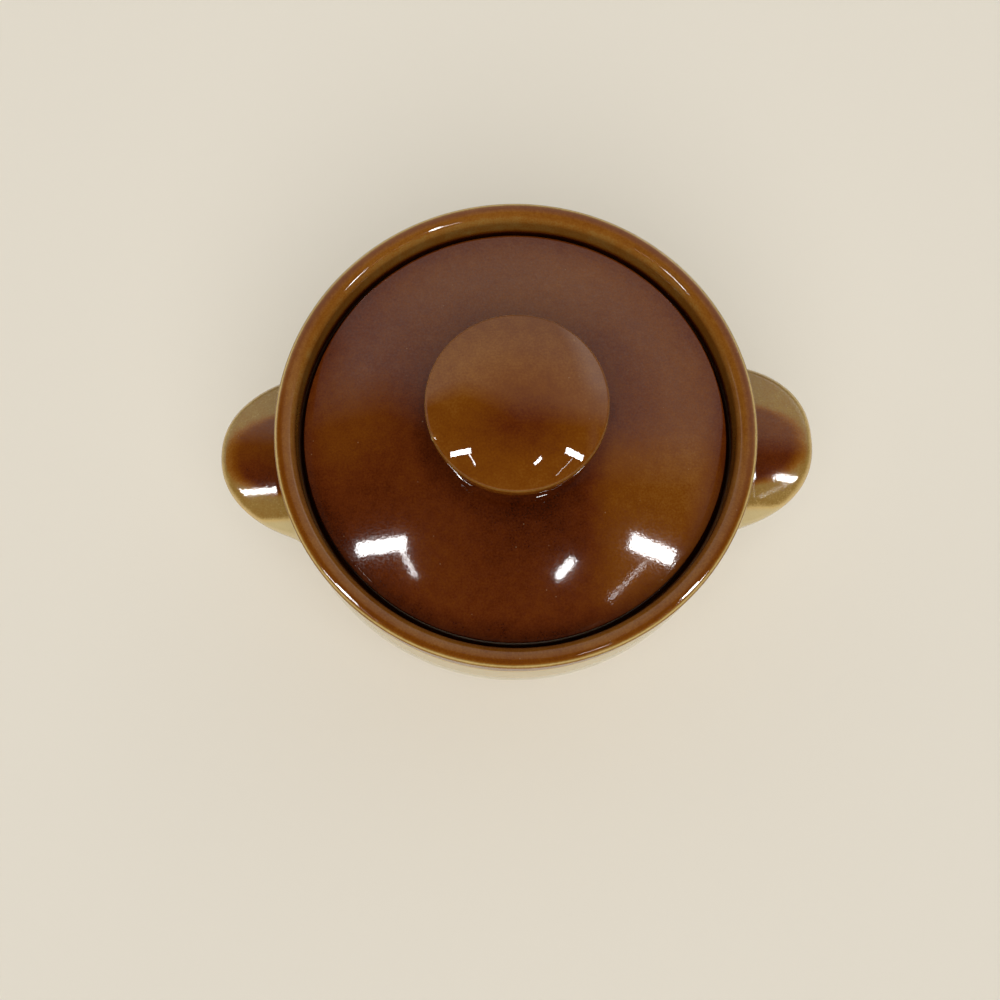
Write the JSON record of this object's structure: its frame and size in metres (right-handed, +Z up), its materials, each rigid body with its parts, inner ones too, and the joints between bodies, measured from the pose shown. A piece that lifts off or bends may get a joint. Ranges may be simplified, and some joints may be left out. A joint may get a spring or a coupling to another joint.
{
  "type": "casserole dish",
  "caption": "Round lidded stoneware casserole dish with a bellied pot, lug handles, and a recessed domed lid that lifts out by a wide knob.",
  "frame": {"origin": "middle of the plane that the foot ring stands on", "axes": "+Z up along the axis that the pot and lid are turned about, +X through the right handle"},
  "size_m": [0.1932, 0.1484, 0.1159],
  "materials": {
    "pot_glaze": "glossy cream glaze with a sprayed brown rim",
    "handle_glaze": "glossy brown glaze sprayed over cream",
    "lid_glaze": "glossy red-brown glaze",
    "knob_glaze": "glossy amber-brown glaze"
  },
  "bodies": {
    "pot": {"pot_body": "pot_glaze", "left_handle": "handle_glaze", "right_handle": "handle_glaze"},
    "lid": {"lid": "lid_glaze", "lid_knob": "knob_glaze"}
  },
  "joints": [
    {"name": "lid_lift", "type": "slide", "parent": "pot", "child": "lid", "axis": [0, 0, 1], "range_m": [0, 0.09]}
  ]
}
